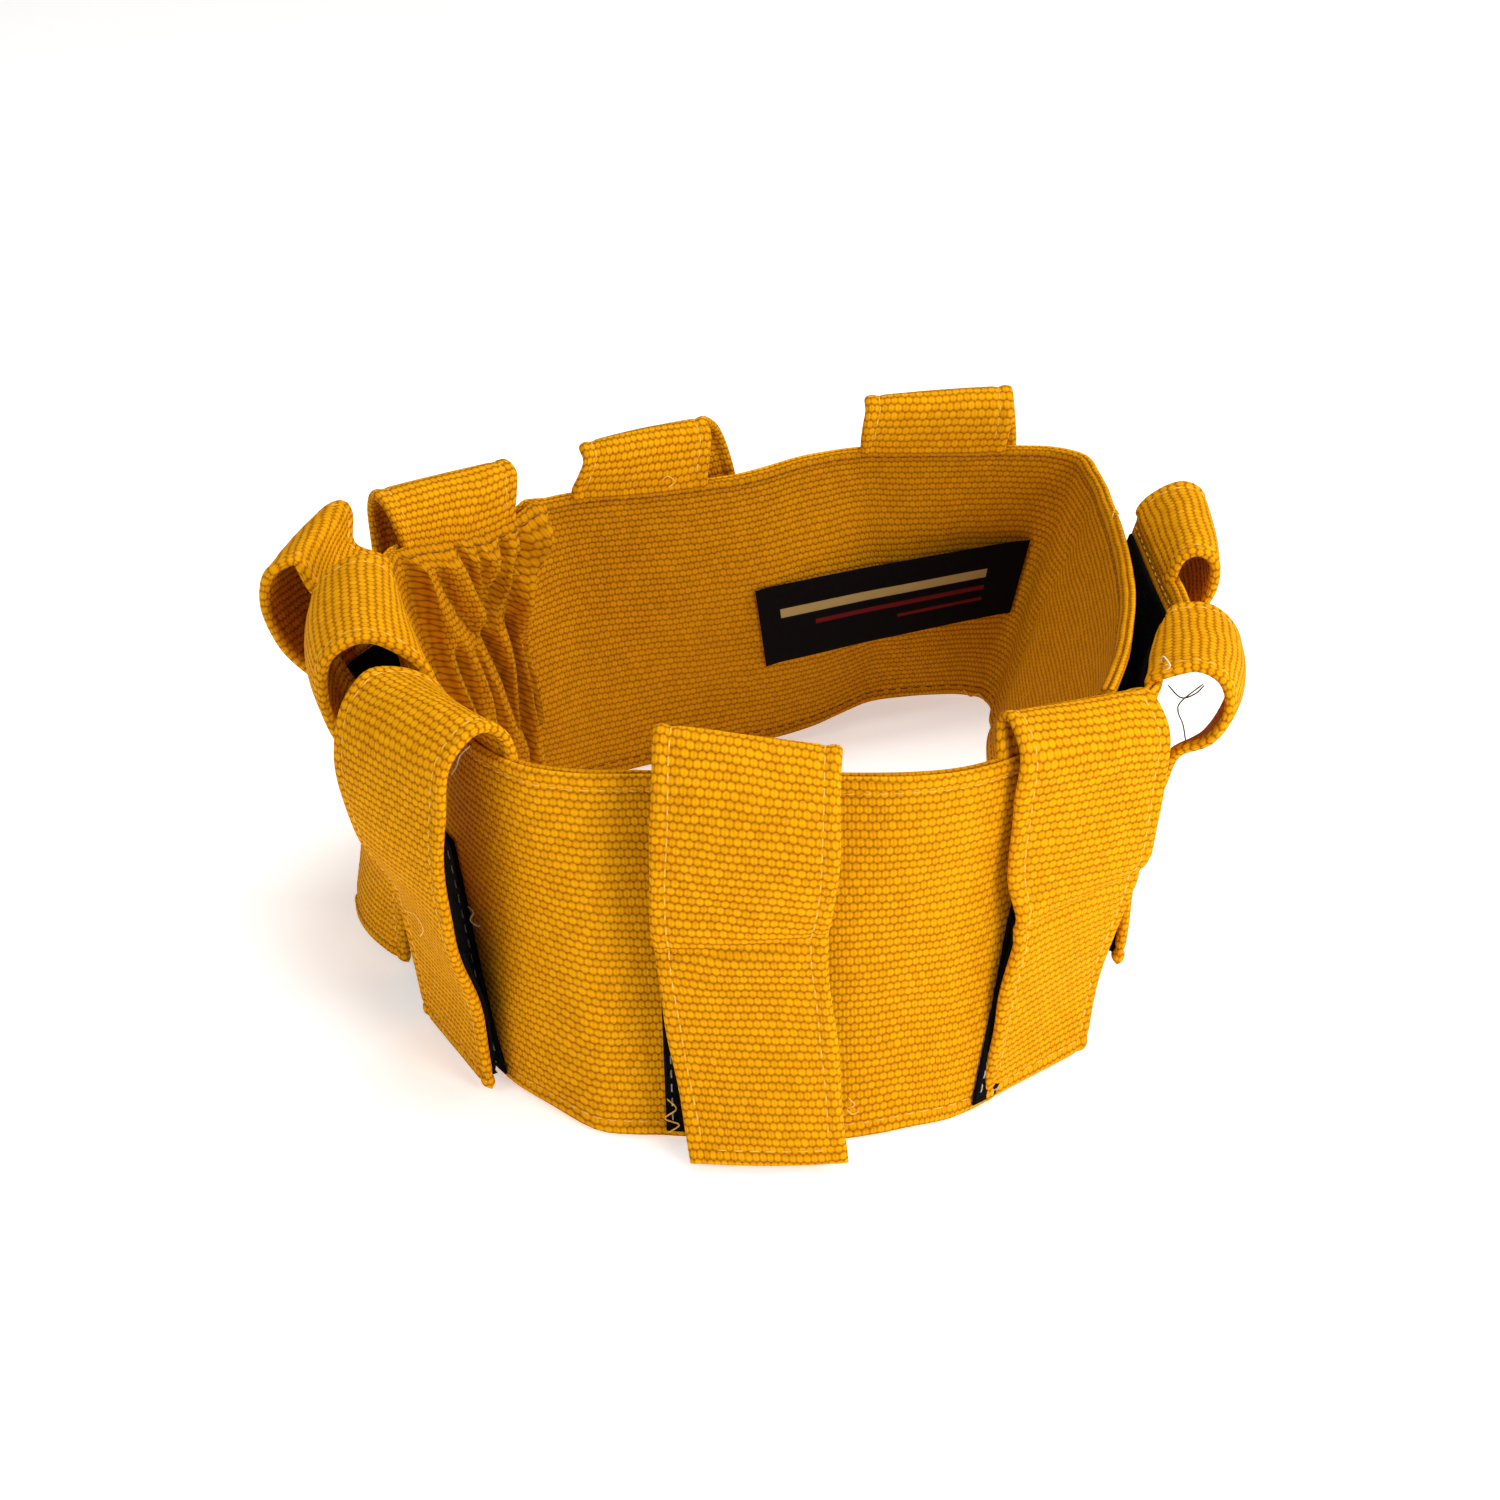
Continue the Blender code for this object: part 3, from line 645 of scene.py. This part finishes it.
class Nodes:
    """Builds a node material with short calls."""

    def __init__(self, name):
        self.material = bpy.data.materials.new(name)
        self.material.use_nodes = True
        self.tree = self.material.node_tree
        self.shader = self.tree.nodes["Principled BSDF"]

    def put(self, socket, value):
        if isinstance(value, bpy.types.NodeSocket):
            self.tree.links.new(value, socket)
        else:
            socket.default_value = value

    def math(self, operation, *values):
        node = self.tree.nodes.new("ShaderNodeMath")
        node.operation = operation
        for socket, value in zip(node.inputs, values):
            self.put(socket, value)
        return node.outputs[0]

    def times(self, first, second):
        return self.math("MULTIPLY", first, second)

    def plus(self, first, second):
        return self.math("ADD", first, second)

    def minus(self, first, second):
        return self.math("SUBTRACT", first, second)

    def noise(self, vector, scale, detail=3.0):
        node = self.tree.nodes.new("ShaderNodeTexNoise")
        node.inputs["Scale"].default_value = scale
        node.inputs["Detail"].default_value = detail
        self.put(node.inputs["Vector"], vector)
        return node.outputs["Fac"]

    def uv(self):
        node = self.tree.nodes.new("ShaderNodeUVMap")
        node.uv_map = "weave"
        return node.outputs["UV"]

    def object_place(self):
        return self.tree.nodes.new("ShaderNodeTexCoord").outputs["Object"]

    def parts(self, vector):
        node = self.tree.nodes.new("ShaderNodeSeparateXYZ")
        self.put(node.inputs[0], vector)
        return node.outputs[0], node.outputs[1]

    def ribs(self, value, rate):
        """Ribs across a direction: 0 between two of them and 1 on top."""
        return self.math("ABSOLUTE", self.math("SINE", self.times(value, rate)))

    def ramp(self, value, stops):
        node = self.tree.nodes.new("ShaderNodeValToRGB")
        elements = node.color_ramp.elements
        while len(elements) < len(stops):
            elements.new(0.5)
        for element, (place, colour) in zip(elements, stops):
            element.position = place
            element.color = (*colour, 1.0)
        self.put(node.inputs[0], value)
        return node.outputs["Color"]

    def mix(self, share, first, second):
        node = self.tree.nodes.new("ShaderNodeMix")
        node.data_type = "RGBA"
        self.put(node.inputs[0], share)
        self.put(node.inputs[6], first)
        self.put(node.inputs[7], second)
        return node.outputs[2]

    def bump(self, height, distance):
        node = self.tree.nodes.new("ShaderNodeBump")
        node.inputs["Strength"].default_value = 1.0
        node.inputs["Distance"].default_value = distance
        self.put(node.inputs["Height"], height)
        return node.outputs["Normal"]

    def finish(self, colour, roughness, normal=None, sheen=0.0):
        self.put(self.shader.inputs["Base Color"], colour)
        self.put(self.shader.inputs["Roughness"], roughness)
        self.shader.inputs["Specular IOR Level"].default_value = 0.04
        self.shader.inputs["Sheen Weight"].default_value = sheen
        if normal is not None:
            self.put(self.shader.inputs["Normal"], normal)
        return self.material


def canvas(name, deep, middle, light, relief_mm=0.40):
    """Heavy canvas in a plain weave: beads of upright strands, staggered from row to row. Its
    colour has painted shade in the gaps between strands and a painted highlight on their tops, with
    random tone from bead to bead.
    """
    n = Nodes(name)
    across, up = n.parts(n.uv())
    place = n.object_place()
    drift = n.minus(n.noise(place, 70.0, 4.0), 0.5)
    across = n.plus(n.times(across, MM_PER_UV / WEAVE_PITCH[0]), n.times(drift, 0.7))
    up = n.plus(n.times(up, MM_PER_UV / WEAVE_PITCH[1]), n.times(drift, 1.2))
    interlock = n.times(n.math("COSINE", n.times(across, 2 * math.pi)),
                        n.math("SINE", n.times(up, math.pi)))
    up = n.minus(up, n.times(interlock, 0.09))
    row = n.math("ROUND", up)
    shifted = n.plus(across, n.times(n.math("FLOORED_MODULO", row, 2.0), 0.5))
    x = n.minus(shifted, n.math("ROUND", shifted))
    y = n.minus(up, row)
    beside = n.math("POWER", n.math("ABSOLUTE", n.times(x, 2.0)), 2.6)
    between = n.math("POWER", n.math("ABSOLUTE", n.times(y, 2.0)), 2.6)
    strands = n.math("COSINE", n.times(x, 4 * math.pi))
    gaps = n.plus(n.times(between, 0.60), n.times(beside, 0.16))
    gaps = n.plus(gaps, n.times(n.plus(strands, 1.0), 0.07))
    height = n.minus(1.0, gaps)
    cell = n.tree.nodes.new("ShaderNodeTexWhiteNoise")
    cell.noise_dimensions = "2D"
    ids = n.tree.nodes.new("ShaderNodeCombineXYZ")
    n.put(ids.inputs[0], n.math("ROUND", shifted))
    n.put(ids.inputs[1], row)
    n.put(cell.inputs["Vector"], ids.outputs[0])
    uneven = n.times(n.minus(cell.outputs["Value"], 0.5), 0.16)
    fibre = n.noise(place, 2600.0, 4.0)
    fuzzy = n.times(n.minus(fibre, 0.5), 0.34)
    tone = n.plus(n.plus(height, uneven), fuzzy)
    # Painted shade and highlight: the colour follows the weave's height, darkest in the gaps
    # between strands and lightest on their tops. uneven and fuzzy add real random tone.
    colour = n.ramp(tone, [(0.0, deep), (0.62, middle), (1.0, light)])
    faded = n.minus(n.noise(place, 14.0, 3.0), 0.45)
    colour = n.mix(n.times(faded, 0.5), colour, (*light, 1.0))
    level = n.plus(height, n.times(fibre, 0.2))
    normal = n.bump(level, relief_mm / 1000)
    soft = n.plus(n.times(height, -0.1), 0.95)
    return n.finish(colour, soft, normal)


def tape_look(name, colour):
    """Hook tape or loop tape: matt black pile."""
    n = Nodes(name)
    place = n.object_place()
    pile = n.noise(place, 1500.0, 5.0)
    patches = n.noise(place, 90.0, 2.0)
    light = tuple(c * 3 + 0.002 for c in colour)
    shade = n.ramp(n.times(pile, n.plus(patches, 0.45)), [(0.25, colour), (0.75, light)])
    return n.finish(shade, 0.9, n.bump(pile, 0.0007))


def thread_look(name, colour, dark):
    """Twisted sewing thread."""
    n = Nodes(name)
    place = n.object_place()
    twist = n.noise(place, 1800.0, 2.0)
    worn = n.noise(place, 120.0, 2.0)
    shade = n.ramp(n.times(n.plus(twist, worn), 0.5), [(0.3, dark), (0.6, colour)])
    return n.finish(shade, 0.6, n.bump(twist, 0.0002), sheen=0.1)


def label_look():
    """Smooth woven label with plain stripes and fine ribs."""
    n = Nodes("black_woven_label")
    along, up = n.parts(n.uv())
    along = n.times(along, MM_PER_UV)
    up = n.times(up, MM_PER_UV)
    ribs = n.ribs(along, 9.0)
    weft = n.ribs(up, 9.0)
    grain = n.times(ribs, weft)
    base = n.ramp(grain, [(0.0, (0.0015, 0.001, 0.001)), (1.0, (0.006, 0.004, 0.004))])
    cream = within(n, up, 14.2, 17.0, along, 7.0, 76.0)
    red = n.plus(within(n, up, 10.2, 11.6, along, 18.0, 76.0),
                 within(n, up, 6.6, 7.6, along, 46.0, 76.0))
    woven = n.plus(n.times(ribs, 0.5), 0.5)
    colour = n.mix(n.times(cream, woven), base, (0.62, 0.45, 0.17, 1.0))
    colour = n.mix(n.times(red, woven), colour, (0.22, 0.012, 0.012, 1.0))
    return n.finish(colour, 0.6, n.bump(grain, 0.0002))


def within(n, value, low, high, other, start, end):
    """1 inside a rectangle and 0 outside it."""
    inside = n.times(n.math("GREATER_THAN", value, low), n.math("LESS_THAN", value, high))
    across = n.times(n.math("GREATER_THAN", other, start), n.math("LESS_THAN", other, end))
    return n.times(inside, across)


def elastic_look():
    """Pale elastic with ribs along it."""
    n = Nodes("ribbed_elastic")
    _, up = n.parts(n.uv())
    ribs = n.ribs(up, 260.0)
    colour = n.ramp(ribs, [(0.0, (0.45, 0.43, 0.38)), (0.6, (0.8, 0.78, 0.72))])
    return n.finish(colour, 0.8, n.bump(ribs, 0.0005))


# Canvas colours: painted shade for the weave's gaps, the middle tone, and a painted highlight for
# the strand tops.
CANVAS_LOOK = canvas("mustard_canvas", (0.23, 0.052, 0.0005), (0.56, 0.208, 0.001),
                     (0.82, 0.362, 0.003))
# The lining is the same canvas as the outside, given darker colours as painted shade for the inside
# of the ring.
LINING_PAINTED_SHADE_LOOK = canvas("mustard_canvas_painted_shade", (0.14, 0.034, 0.0004), (0.42, 0.155, 0.001),
                     (0.62, 0.255, 0.002), relief_mm=0.35)
TAPE_LOOK = tape_look("black_tape", (0.0016, 0.0014, 0.0014))
LABEL_LOOK = label_look()
ELASTIC_LOOK = elastic_look()
PALE_THREAD = thread_look("pale_thread", (0.92, 0.52, 0.09), (0.72, 0.33, 0.02))
BROWN_THREAD = thread_look("brown_thread", (0.26, 0.095, 0.008), (0.10, 0.034, 0.003))
WHITE_THREAD = thread_look("white_thread", (0.9, 0.8, 0.55), (0.6, 0.45, 0.2))
GREY_THREAD = thread_look("grey_thread", (0.42, 0.38, 0.34), (0.18, 0.15, 0.13))
DARK_THREAD = thread_look("dark_thread", (0.05, 0.03, 0.02), (0.015, 0.01, 0.01))


# ---- straps


class Strap:
    """The visual shape of one loop strap, from its sewn root to its free end."""

    def __init__(self, name, first, second, turn=0, flat=0, crown=1.2, curl=0, lean=0.16,
                 root=(-STRAP_WIDTH / 2, STRAP_WIDTH / 2), crease=(50, 0)):
        self.name = name
        joint = JOINTS[name + "_open"]
        self.crest = np.array(joint["pos_m"]) * 1000
        axis = np.array(joint["axis"])
        self.hinge_out = np.cross(np.array([0, 0, 1.0]), axis)
        self.body = joint["child"]
        self.parent = joint["parent"]
        self.along = along_of(self.root_place())
        self.edges = np.array([first, second], float)
        self.free = np.maximum(flat, FREEDOM)
        self.crown = np.array([0, crown, crown, crown, curl, curl, curl])
        self.lean, self.root, self.crease = lean, root, crease
        self.landing = self.edges[:, 4, 2].min()
        turn = math.radians(turn)
        self.side = axis * math.cos(turn) + np.cross([0, 0, 1.0], axis) * math.sin(turn)
        self.out = np.cross([0, 0, 1.0], self.side)
        self.base = smooth(self.along, ALONG, LOW_RAIL)[0]
        top = smooth(self.along, ALONG, TOP_RAIL)[0]
        self.up = (top - self.base) / np.linalg.norm(top - self.base)

    def root_place(self):
        """The middle of the CAD root, which the strap grows out of."""
        middle = box_middle(self.name + "_root")
        reach = (self.crest - middle) @ self.hinge_out
        return middle - self.hinge_out * max(reach, 0)

    def controls(self, share):
        """Control points (sideways, out, height, free) of the profile at a share across."""
        path = self.edges[0] * (1 - share) + self.edges[1] * share
        path[:, 1] += self.crown * (1 - (2 * share - 1) ** 2)
        root = self.root[0] * (1 - share) + self.root[1] * share
        crest = path[0]
        rise = crest[2] - HEIGHT
        leaning = ROOT_OUT + self.lean * (crest[1] - ROOT_OUT)
        start = [
            (root, ROOT_OUT, HEIGHT - ROOT_TUCK, 0.0),
            (root, ROOT_OUT, HEIGHT + 0.6, 0.0),
            (0.5 * (root + crest[0]), leaning, HEIGHT + 0.5 * rise, 0.5),
            (crest[0], 0.5 * (leaning + crest[1]), HEIGHT + 0.88 * rise, 1.0),
        ]
        return np.concatenate([start, np.column_stack([path, self.free])])

    def surface(self, across, places):
        """Points of the middle surface at places along the profile, for each place across."""
        columns = []
        for x in across:
            controls = self.controls(x / STRAP_WIDTH + 0.5)
            marks = travelled(controls[:, 1:3])
            path, _ = smooth(places * marks[-1], marks, controls)
            sideways, out, height, free = path.T
            free = np.clip(free, 0, 1)
            wavy = 0.35 * np.sin(height / 6.1 + self.along) + 0.25 * np.sin(height / 3.7 + x)
            sideways = sideways + wavy * (x / STRAP_WIDTH) * step(out, 0, 3)
            hug = band_point(self.along + sideways, np.minimum(height, 100), out)
            stand = (
                self.base
                + self.up * height[:, None]
                + self.out * out[:, None]
                + self.side * sideways[:, None]
            )
            columns.append(hug * (1 - free[:, None]) + stand * free[:, None])
        return np.stack(columns, axis=1)

    def normals(self, grid):
        """Unit normals of a grid of points, away from the band on the flap."""
        down = np.gradient(grid, axis=0)
        sideways = np.gradient(grid, axis=1)
        return unit(np.cross(sideways, down))

    def ripple(self, across, lengths):
        """Small unevenness of the cloth, different on each strap."""
        seed = self.along
        a = np.sin(lengths[:, None] / 8.5 + seed) * np.sin(across[None] / 9.0 + seed * 1.7)
        b = np.sin(lengths[:, None] / 4.7 - across[None] / 12 + seed * 0.6)
        return 0.35 * a + 0.14 * b

    def cloth(self):
        """The strap's canvas, with its hems, ripples and crease."""
        across = spaced(-STRAP_WIDTH / 2, STRAP_WIDTH / 2, 3.4)
        rough = np.linspace(0, 1, 400)
        middle = self.surface(np.array([0.0]), rough)[:, 0]
        marks = travelled(middle)
        length = marks[-1]
        inner = np.linspace(2.0, length - 6.2, int((length - 8) / 1.5))
        lengths = np.concatenate([[0, 0.2, 0.6, 1.2], inner, (length - END_EDGE)[::-1]])
        places = np.interp(lengths, marks, rough)
        grid = self.surface(across, places)
        normals = self.normals(grid)
        fade = step(lengths, 6, 14)[:, None]
        grid = grid + normals * (self.ripple(across, lengths) * fade)[..., None]
        at, depth = self.crease
        tilted = grid[..., 2] - at + 0.12 * across[None]
        fold = -depth * bump(tilted, 0, 1.6) + 0.7 * depth * bump(tilted, 5.5, 3.5)
        grid = grid + normals * (fold * fade)[..., None]
        normals = self.normals(grid)
        inset = np.minimum(across + STRAP_WIDTH / 2, STRAP_WIDTH / 2 - across)
        half = hem_half(inset, STRAP_THICKNESS, rolled=0.2)
        end_half = hem_half(length - lengths, STRAP_THICKNESS, rolled=0.2) / (STRAP_THICKNESS / 2)
        start = rounded(lengths, 1.0, 0.03)
        thick = half[None] * np.clip(end_half * start, 0.03, 2)[:, None]
        front = grid + normals * thick[..., None]
        back = grid - normals * thick[..., None]
        rings = np.concatenate([front, back[:, -2:0:-1]], axis=1)
        us = np.repeat(travelled_round(rings, self.along)[None], len(lengths), axis=0)
        vs = np.repeat(-lengths[:, None], rings.shape[1] + 1, axis=1)
        self.lengths, self.length, self.across = lengths, length, across
        self.front, self.back, self.outwards = front, back, normals
        return tube(self.name + "_cloth", rings, us, vs, CANVAS_LOOK)

    def stitching(self):
        """Topstitching down both edges and across the free end, on the outer face."""
        side = STRAP_WIDTH / 2 - SEAM_IN
        left, right = nearest(self.across, -side), nearest(self.across, side)
        first, last = nearest(self.lengths, 4), nearest(self.lengths, self.length - SEAM_IN)
        made = []
        for k in (left, right):
            made += running_stitches(self.front[first:last, k], self.outwards[first:last, k])
        end = last, slice(left, right + 1)
        made += running_stitches(self.front[end], self.outwards[end])
        return threads_object(self.name + "_stitching", made, PALE_THREAD)

    def hook_tape(self):
        """The tape on the inside of the flap, from where it lands to its free end."""
        start = nearest(self.middle_heights(), self.landing + HOOK_UP)
        rows = np.arange(start, len(self.lengths) - 5)
        keep = [k for k, x in enumerate(self.across) if abs(x) <= STRAP_WIDTH / 2 - HOOK_INSET]
        face = self.back[rows][:, keep]
        normals = self.outwards[rows][:, keep]
        near, far = face - normals * HOOK_GAP, face - normals * (HOOK_GAP + TAPE)
        rings = np.concatenate([near, far[:, ::-1]], axis=1)
        across = self.across[keep]
        turned = np.concatenate([across, across[::-1], [across[0]]])
        us = np.repeat(turned[None], len(rows), axis=0)
        vs = np.repeat(-self.lengths[rows][:, None], rings.shape[1] + 1, axis=1)
        return tube(self.name + "_hook", rings, us, vs, TAPE_LOOK)

    def middle_heights(self):
        """Heights down the middle of the flap. Before its crest they are set out of reach."""
        middle = self.front[:, len(self.across) // 2]
        past_crest = np.maximum.accumulate(middle[:, 2]) >= middle[:, 2].max()
        return np.where(past_crest, middle[:, 2], 200.0)

    def bend(self, piece):
        """Finds the plane across the crest that best parts root and leg, then bakes the piece's
        place into its mesh.
        """
        grid = (self.front + self.back) / 2 - self.crest
        crest_at = self.lengths[grid[:, len(self.across) // 2, 2].argmax()]
        root = grid[self.lengths < crest_at - BEND_BEFORE]
        leg = grid[self.lengths > crest_at + BEND_AFTER]
        tried = []
        for slant in range(0, 90, 5):
            angle = math.radians(slant)
            direction = self.hinge_out * math.cos(angle) - np.array([0, 0, math.sin(angle)])
            stays, lifts = (root @ direction).max(), (leg @ direction).min()
            tried.append((lifts - stays, slant, stays, lifts, direction))
        _, _, stays, lifts, direction = max(tried, key=lambda found: found[0])
        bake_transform(piece)


def build_strap(name, tape=(-17.3, 17.3, -17.3, 17.3), **shape):
    """A strap with its hook tape, and its loop tape on the band under it."""
    strap = Strap(name, **shape)
    cloth = strap.cloth()
    stitching = strap.stitching()
    hook = strap.hook_tape()
    top = min(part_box(name + "_loop_tape")[1].z * 1000, 66.0)
    first_low, second_low, first_top, second_top = tape
    corners = (
        (strap.along + first_low, 2.0), (strap.along + second_low, 2.0),
        (strap.along + first_top, top), (strap.along + second_top, top),
    )
    loop = band_patch(name + "_loop", corners, TAPE_OUT + TAPE / 2 - TAPE_SINK, TAPE, TAPE_LOOK)
    stitches = patch_stitches(corners, TAPE_OUT + TAPE - TAPE_SINK)
    sewn = threads_object(name + "_loop_stitching", stitches, GREY_THREAD)
    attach(sewn, strap.parent)
    strap.bend(cloth)
    strap.bend(stitching)
    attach(hook, strap.body)
    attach(loop, strap.parent)
    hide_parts(name + "_root", name + "_flap")
    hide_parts(name + "_hook_tape")
    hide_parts(name + "_loop_tape")


# ---- band


def build_band():
    """The band's layers, seams and hidden elastic, the closure's tape panels and the label."""
    split = HINGE_ALONG + SPLIT
    layers = (LAYER_GAP + CANVAS) / 2
    ends = (0.0, split - 0.1)
    rest = (split + 0.1, BELT_LENGTH)
    closure_canvas = band_layer("closure_canvas", ends, layers, CANVAS_LOOK)
    closure_lining = band_layer("closure_lining", ends, -layers, LINING_PAINTED_SHADE_LOOK)
    canvas_piece = band_layer("belt_canvas", rest, layers, CANVAS_LOOK, folded=-OUTER_PUCKER)
    lining = band_layer("belt_lining", rest, -layers, LINING_PAINTED_SHADE_LOOK, folded=PUCKER)
    for piece in (closure_canvas, closure_lining):
        bend_closure(piece)
    for piece in (canvas_piece, lining):
        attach(piece, "band")
    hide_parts("closure_end_outer")
    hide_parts("closure_end_lining")
    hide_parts("front_band_outer", "gather_casing_outer", "back_band_outer")
    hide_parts("front_band_lining", "gather_casing_lining", "back_band_lining")

    face = LAYER_GAP / 2 + CANVAS
    hems = SEAM_IN, HEIGHT - SEAM_IN
    belt = split + 1, BELT_LENGTH - 1
    outside, inside = [], []
    for height in hems:
        outside += band_stitches(*belt, height, face - SEAM_SINK, 1, -OUTER_PUCKER)
    seams = (SEAM_IN, SEAM_SINK - face), (HEIGHT - TOP_SEAM_IN, -TOP_SEAM_PROUD - face)
    for height, out in seams:
        inside += band_stitches(*belt, height, out, -1, PUCKER)
    outer_seam = threads_object("belt_outer_stitching", outside, PALE_THREAD)
    inner_seam = threads_object("belt_inner_stitching", inside, BROWN_THREAD)
    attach(outer_seam, "band")
    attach(inner_seam, "band")
    ends_stitches = []
    for height in hems:
        ends_stitches += band_stitches(1, split - 1, height, face - SEAM_SINK, 1)
        ends_stitches += band_stitches(1, split - 1, height, SEAM_SINK - face, -1)
    closure_seam = threads_object("closure_stitching", ends_stitches, PALE_THREAD)
    bend_closure(closure_seam)

    place = oblong(GATHERS - ELASTIC_REACH, GATHERS + ELASTIC_REACH, *ELASTIC_HEIGHTS)
    elastic = band_patch("waist_elastic_band", place, 0.0, 0.25, ELASTIC_LOOK)
    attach(elastic, "band")
    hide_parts("waist_elastic")

    place = oblong(*HOOK_PANEL, *PANEL_HEIGHTS)
    hooks = band_patch("closure_hooks", place, PANEL_SINK - TAPE_OUT - TAPE / 2, TAPE, TAPE_LOOK)
    bend_closure(hooks)
    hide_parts("closure_hook_panel")
    place = oblong(BELT_LENGTH + LOOP_PANEL[0], BELT_LENGTH + LOOP_PANEL[1], *PANEL_HEIGHTS)
    loops = band_patch("closure_loops", place, TAPE_OUT + TAPE / 2 - PANEL_SINK, TAPE, TAPE_LOOK)
    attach(loops, "band")
    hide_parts("closure_loop_panel")

    place = [(LABEL_PLACE + along, height) for along, height in LABEL_CORNERS]
    label = band_patch("woven_label_patch", place, -TAPE_OUT - 0.1, 0.5, LABEL_LOOK,
                       lift=-0.7, stiff=0.85)
    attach(label, "band")
    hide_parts("inner_label")


# Loose thread ends: look, moving body and the points of the thread in millimetres.
LOOSE_THREADS = (
    (WHITE_THREAD, "band", (
        (-59.2, -75.6, 83.4), (-61.7, -71.9, 79.0), (-63.0, -68.9, 74.6), (-64.5, -66.0, 70.9),
    )),
    (WHITE_THREAD, "band", (
        (-62.4, -67.2, 38.6), (-61.0, -69.0, 38.2), (-61.8, -68.8, 36.0), (-60.0, -70.4, 35.5),
        (-59.2, -70.6, 36.4),
    )),
    (PALE_THREAD, "strap_3_flap", (
        (-76.4, -73.0, 46.0), (-75.4, -73.6, 42.0), (-72.6, -76.6, 42.4), (-71.2, -76.4, 38.6),
        (-72.2, -74.8, 35.6),
    )),
    (PALE_THREAD, "band", (
        (20.0, -98.9, 10.4), (21.4, -99.6, 9.0), (19.8, -99.9, 8.2), (21.0, -99.6, 6.6),
        (22.4, -99.0, 7.0),
    )),
    (PALE_THREAD, "band", (
        (-18.6, -99.2, 10.4), (-16.6, -100.4, 8.6), (-19.0, -100.8, 6.4), (-16.0, -100.9, 4.8),
        (-18.4, -100.8, 2.6),
    )),
    (PALE_THREAD, "band", (
        (-22.6, 53.6, 85.2), (-21.0, 53.2, 86.6), (-19.4, 54.2, 84.6), (-21.0, 53.6, 83.4),
    )),
    (PALE_THREAD, "band", (
        (87.4, 45.4, 79.0), (88.2, 46.8, 80.6), (89.2, 46.0, 79.6),
    )),
    (WHITE_THREAD, "closure_end", (
        (88.2, -42.6, 85.5), (88.4, -44.6, 88.2), (89.6, -47.6, 87.6), (88.8, -47.0, 85.9),
    )),
    (DARK_THREAD, "closure_end", (
        (96.9, -50.0, 84.5), (92.2, -50.6, 80.4), (91.7, -50.2, 77.7), (93.0, -50.4, 74.4),
        (93.9, -50.0, 70.2),
    )),
    (DARK_THREAD, "closure_end", (
        (89.0, -49.6, 84.0), (92.0, -50.8, 81.4), (95.0, -50.6, 82.2), (97.0, -50.0, 84.0),
    )),
    (PALE_THREAD, "band", (
        (57.0, 98.4, 3.0), (59.0, 97.6, 1.2), (61.2, 96.9, 2.4), (63.0, 95.6, 0.6),
    )),
)


def build_loose_threads():
    """Ends of thread that stick out of the seams."""
    for number, (look, body, points) in enumerate(LOOSE_THREADS, 1):
        points = np.array(points)
        marks = np.arange(len(points)) * 1.0
        path, slope = smooth(np.linspace(0, marks[-1], 6 * len(points)), marks, points)
        normals = np.cross(slope, (0.3, 0.5, 0.8))
        threads = [thread(path, normals, LOOSE_RADIUS)]
        made = threads_object(f"loose_thread_{number}", threads, look)
        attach(made, body)


def bend_closure(piece):
    """Finds the two ends of the fold where the outer closure end swings open, then bakes the
    piece's place into its mesh.
    """
    ends = []
    for place in (HINGE_ALONG - FOLD_REACH, HINGE_ALONG + FOLD_REACH):
        point = smooth(place, ALONG, TOP_RAIL)[0]
        low = smooth(place, ALONG, LOW_RAIL)[0]
        ends.append(tuple((point + low) / 2000))
    start, end = Vector(ends[0]), Vector(ends[1])
    end.z = start.z
    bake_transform(piece)


# ---- stage


def build_stage():
    """Pale floor, soft lamps and the camera, in metres."""
    floor_mesh = bpy.data.meshes.new("floor")
    reach = 6.0
    below = -0.0004
    corners = [(-reach, -reach, below), (reach, -reach, below), (reach, reach, below),
               (-reach, reach, below)]
    floor_mesh.from_pydata(corners, [], [(0, 1, 2, 3)])
    floor = placed("floor", floor_mesh)
    n = Nodes("pale_floor")
    n.finish((0.90, 0.89, 0.87, 1.0), 0.9)
    n.shader.inputs["Emission Color"].default_value = (1.0, 0.995, 0.98, 1.0)
    n.shader.inputs["Emission Strength"].default_value = 0.47
    floor_mesh.materials.append(n.material)

    world = bpy.data.worlds.new("studio")
    world.use_nodes = True
    background = world.node_tree.nodes["Background"]
    background.inputs["Color"].default_value = (1.0, 0.99, 0.975, 1.0)
    background.inputs["Strength"].default_value = 0.12
    bpy.context.scene.world = world

    lamp("key", (0.42, -0.53, 0.30), 0.34, 2.85)
    lamp("right", (0.85, 0.0, 0.55), 0.4, 4.8)
    lamp("left", (-0.70, -0.45, 0.5), 0.5, 2.2)
    lamp("top", (0.05, 0.12, 1.4), 0.7, 11.4)

    camera_data = bpy.data.cameras.new("camera")
    camera_data.lens = 72
    camera_data.sensor_width = 36
    camera_data.clip_start = 0.01
    camera = placed("camera", camera_data)
    camera.location = CAMERA_PLACE
    camera.rotation_euler = (math.radians(90 - CAMERA_PITCH), 0, 0)
    bpy.context.scene.camera = camera
    bpy.context.scene.view_settings.view_transform = "Standard"


def lamp(name, place, size, power):
    """A round soft lamp that points at the belt."""
    data = bpy.data.lights.new(name, "AREA")
    data.shape = "DISK"
    data.size = size
    data.energy = power
    made = placed(name, data)
    made.location = place
    aim = Vector((0, 0, 0.04)) - Vector(place)
    made.rotation_euler = aim.to_track_quat("-Z", "Y").to_euler()


build_stage()
for strap_name, sizes in STRAPS.items():
    build_strap(strap_name, **sizes)
build_band()
build_loose_threads()
